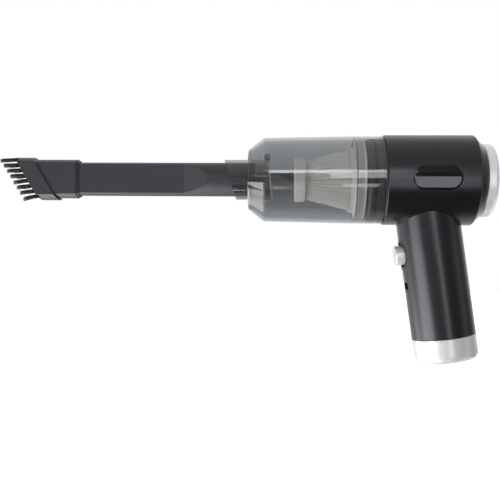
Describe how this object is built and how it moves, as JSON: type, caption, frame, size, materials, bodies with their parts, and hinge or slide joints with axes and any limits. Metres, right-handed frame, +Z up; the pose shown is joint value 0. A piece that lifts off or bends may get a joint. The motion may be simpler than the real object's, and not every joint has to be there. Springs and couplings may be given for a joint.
{
  "type": "mini vacuum cleaner",
  "caption": "Pistol-shaped cordless hand vacuum with a see-through dust cup, pleated cone filter, crevice nozzle and brush, silver outlet ring and handle foot.",
  "frame": {"origin": "centre of the flat face at the foot of the handle", "axes": "+X along the suction axis from the nozzle to the outlet, +Z up, square to the suction axis, +Y to the right side; the handle leans 8.2 degrees, foot towards the outlet"},
  "size_m": [0.3522, 0.064, 0.1622],
  "materials": {
    "housing_black": "satin moulded",
    "handle_black": "satin moulded",
    "gloss_black": "polished",
    "badge_gloss": "polished inlay",
    "silver": "brushed",
    "smoke": "polished, see-through",
    "smoke_collar": "polished, see-through",
    "tool_grey": "fine matt texture",
    "bristle_black": "nylon strands",
    "filter_frame": "moulded",
    "filter_paper": "pleated filter paper",
    "spigot_black": "moulded",
    "seal_rubber": "matt",
    "flap_rubber": "matt",
    "inner_grey": "moulded",
    "grille_black": "moulded",
    "foam": "open foam",
    "steel": "drawn",
    "screw_steel": "zinc plated",
    "magnet": "ground",
    "copper": "wound and varnished",
    "impeller_white": "moulded",
    "switch_black": "moulded",
    "plunger_white": "moulded",
    "port_black": "moulded",
    "lamp": "clear lens",
    "board_green": "lacquered laminate",
    "holder_blue": "moulded",
    "cell_wrap": "shrink sleeve",
    "lead_red": "insulated"
  },
  "bodies": {
    "main": {"housing_left": "housing_black", "housing_right": "housing_black", "housing_spigot": "spigot_black", "spigot_seal": "seal_rubber", "housing_screws": "screw_steel", "badge_left": "badge_gloss", "badge_right": "badge_gloss", "rear_cone": "gloss_black", "rear_ring": "silver", "exhaust_grille": "grille_black", "exhaust_filter": "foam", "fan_shroud": "inner_grey", "motor_mount": "inner_grey", "motor_screws": "screw_steel", "motor_can": "steel", "motor_magnets": "magnet", "motor_end_bell": "switch_black", "rear_support": "inner_grey", "handle_shell": "handle_black", "base_cap": "silver", "button_bezel": "gloss_black", "switch_body": "switch_black", "charge_port": "port_black", "status_led": "lamp", "control_board": "board_green", "board_screws": "screw_steel", "battery_holder": "holder_blue", "battery_cells": "cell_wrap", "motor_leads": "lead_red"},
    "rotor": {"impeller": "impeller_white", "motor_shaft": "steel", "armature": "copper"},
    "button": {"button_cap": "silver", "switch_plunger": "plunger_white"},
    "collar": {"cup_collar": "smoke_collar"},
    "filter": {"filter_flange": "filter_frame", "filter_media": "filter_paper", "filter_cap": "filter_frame", "filter_cage": "filter_frame"},
    "cup": {"dust_cup": "smoke", "flap_pin": "steel"},
    "flap": {"inlet_flap": "flap_rubber"},
    "tool": {"crevice_tool": "tool_grey"},
    "brush": {"brush_sleeve": "tool_grey", "bristles_left": "bristle_black", "bristles_right": "bristle_black"}
  },
  "joints": [
    {"name": "rotor_spin", "type": "hinge", "parent": "main", "child": "rotor", "pos_m": [-0.0226, 0, 0.12768], "axis": [1, 0, 0], "continuous": true},
    {"name": "power_button", "type": "slide", "parent": "main", "child": "button", "axis": [0.9898, 0, 0.1426], "range_m": [0, 0.0013], "stiffness_N_per_m": 800, "springref_m": -0.0005},
    {"name": "collar_twist", "type": "hinge", "parent": "main", "child": "collar", "pos_m": [-0.0576, 0, 0.12768], "axis": [1, 0, 0], "range_deg": [0, 20]},
    {"name": "cup_pull", "type": "slide", "parent": "collar", "child": "cup", "axis": [-1, 0, 0], "range_m": [0, 0.07]},
    {"name": "filter_pull", "type": "slide", "parent": "collar", "child": "filter", "axis": [-1, 0, 0], "range_m": [0, 0.013]},
    {"name": "flap_hinge", "type": "hinge", "parent": "cup", "child": "flap", "pos_m": [-0.12889, 0, 0.14384], "axis": [0, -1, 0], "range_deg": [0, 28]},
    {"name": "tool_pull", "type": "slide", "parent": "cup", "child": "tool", "axis": [-1, 0, 0], "range_m": [0, 0.03]},
    {"name": "brush_pull", "type": "slide", "parent": "tool", "child": "brush", "axis": [-1, 0, 0], "range_m": [0, 0.022]}
  ]
}
